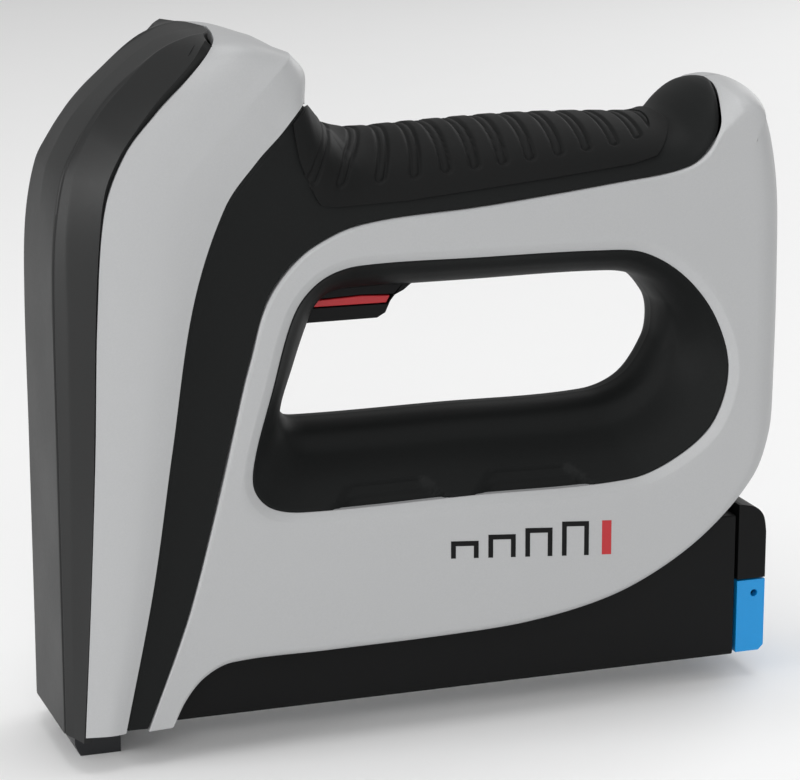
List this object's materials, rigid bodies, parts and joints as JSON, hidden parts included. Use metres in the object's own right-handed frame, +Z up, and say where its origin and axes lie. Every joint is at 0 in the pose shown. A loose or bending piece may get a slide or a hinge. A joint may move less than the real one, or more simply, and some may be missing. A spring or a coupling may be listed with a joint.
{
  "type": "cordless staple gun",
  "caption": "Cordless staple gun with a D-shaped handle, silver side panels, rubber grip, paddle trigger, spring striker and rear-loading magazine.",
  "frame": {"origin": "centre of the bounding box on the surface that the nose foot touches", "axes": "+X from the nose to the rear of the handle, +Y to the user's right, +Z up from the nose foot to the head"},
  "size_m": [0.19, 0.05, 0.178],
  "materials": {
    "dark_shell": "dark grey glass-filled nylon, fine spark texture",
    "dark_cover": "dark grey nylon nose cover, fine satin texture",
    "silver_shell": "satin silver-grey moulded plastic",
    "grip_rubber": "soft black over-moulded rubber",
    "black_moulding": "black moulded plastic",
    "blue_latch": "cyan blue moulded plastic",
    "red_inlay": "red moulded plastic",
    "bright_steel": "zinc plated or bright steel",
    "black_steel": "blackened hardened steel",
    "brass_gear": "turned brass",
    "white_nylon": "natural nylon",
    "cell_wrap": "green shrink wrap on a lithium cell",
    "board": "green circuit board"
  },
  "bodies": {
    "casing": {"housing_left": "dark_shell", "housing_right": "dark_shell", "front_cover": "dark_cover", "head_saddle": "silver_shell", "silver_panel_left": "silver_shell", "silver_panel_right": "silver_shell", "grip_sleeve": "grip_rubber", "magazine_housing": "black_moulding", "feed_channel": "bright_steel", "staple_strip": "bright_steel", "nose_piece": "black_steel", "driver_guide": "bright_steel", "guide_rail_left": "bright_steel", "guide_rail_right": "bright_steel", "main_spring": "bright_steel", "spring_seat": "white_nylon", "bumper": "grip_rubber", "lift_axle": "bright_steel", "second_axle": "bright_steel", "first_axle": "bright_steel", "gear_plate_left": "bright_steel", "gear_plate_right": "bright_steel", "motor": "bright_steel", "trigger_pin": "bright_steel", "trigger_spring": "bright_steel", "switch_body": "black_moulding", "battery_cell_left": "cell_wrap", "battery_cell_right": "cell_wrap", "battery_cradle": "black_moulding", "control_board": "board", "charge_socket": "black_moulding", "housing_screw_1": "bright_steel", "housing_screw_2": "bright_steel", "housing_screw_3": "bright_steel", "housing_screw_4": "bright_steel", "housing_screw_5": "bright_steel", "housing_screw_6": "bright_steel"},
    "striker": {"plunger": "black_steel", "driver_blade": "bright_steel"},
    "lift_gear": {"lift_gear": "bright_steel"},
    "second_gear": {"second_gear": "bright_steel"},
    "first_gear": {"first_gear": "white_nylon"},
    "rotor": {"motor_pinion": "brass_gear", "motor_shaft": "bright_steel"},
    "trigger": {"trigger": "black_moulding", "trigger_inlay": "red_inlay"},
    "switch_button": {"switch_button": "red_inlay"},
    "tray": {"tray_rail": "bright_steel", "rear_cap": "black_moulding", "latch_pin": "bright_steel", "latch_spring": "bright_steel", "pusher_spring": "bright_steel"},
    "latch": {"release_latch": "blue_latch"},
    "pusher": {"staple_pusher": "black_steel"}
  },
  "joints": [
    {"name": "lift_gear_turn", "type": "hinge", "parent": "casing", "child": "lift_gear", "pos_m": [-0.06, 0, 0.096], "axis": [0, 1, 0], "range_deg": [-1, 70.5]},
    {"name": "striker_slide", "type": "slide", "parent": "casing", "child": "striker", "axis": [0, 0, 1], "range_m": [0, 0.017], "stiffness_N_per_m": 40, "springref_m": -0.01, "deforming": ["main_spring"]},
    {"name": "second_gear_turn", "type": "hinge", "parent": "casing", "child": "second_gear", "pos_m": [-0.06, 0, 0.0775], "axis": [0, 1, 0], "range_deg": [-217.4, 1]},
    {"name": "first_gear_turn", "type": "hinge", "parent": "casing", "child": "first_gear", "pos_m": [-0.06207, 0, 0.06164], "axis": [0, 1, 0], "range_deg": [-1, 651.3]},
    {"name": "rotor_turn", "type": "hinge", "parent": "casing", "child": "rotor", "pos_m": [-0.05747, 0, 0.04863], "axis": [0, 1, 0], "range_deg": [-2342.6, 5]},
    {"name": "trigger_pull", "type": "hinge", "parent": "casing", "child": "trigger", "pos_m": [-0.004, 0, 0.115], "axis": [0, 1, 0], "range_deg": [0, 6], "stiffness_Nm_per_rad": 0.6, "springref_deg": -8.59, "deforming": ["trigger_spring"]},
    {"name": "switch_press", "type": "slide", "parent": "casing", "child": "switch_button", "axis": [0, 0, 1], "range_m": [0, 0.0018]},
    {"name": "tray_slide", "type": "slide", "parent": "casing", "child": "tray", "axis": [1, 0, 0], "range_m": [0, 0.12]},
    {"name": "latch_swing", "type": "hinge", "parent": "tray", "child": "latch", "pos_m": [0.0919, 0, 0.0234], "axis": [0, -1, 0], "range_deg": [0, 4.5], "stiffness_Nm_per_rad": 0.3, "springref_deg": -17.19},
    {"name": "pusher_slide", "type": "slide", "parent": "tray", "child": "pusher", "axis": [1, 0, 0], "range_m": [0, 0.045], "stiffness_N_per_m": 30, "springref_m": -0.03, "deforming": ["pusher_spring"]}
  ],
  "couplings": [
    {"joint": "lift_gear_turn", "follows": "striker_slide", "rad_per_m": 71.429},
    {"joint": "second_gear_turn", "follows": "striker_slide", "rad_per_m": -222.22},
    {"joint": "first_gear_turn", "follows": "striker_slide", "rad_per_m": 666.67},
    {"joint": "rotor_turn", "follows": "striker_slide", "rad_per_m": -2400},
    {"joint": "switch_press", "follows": "trigger_pull", "m_per_rad": 0.0165}
  ]
}
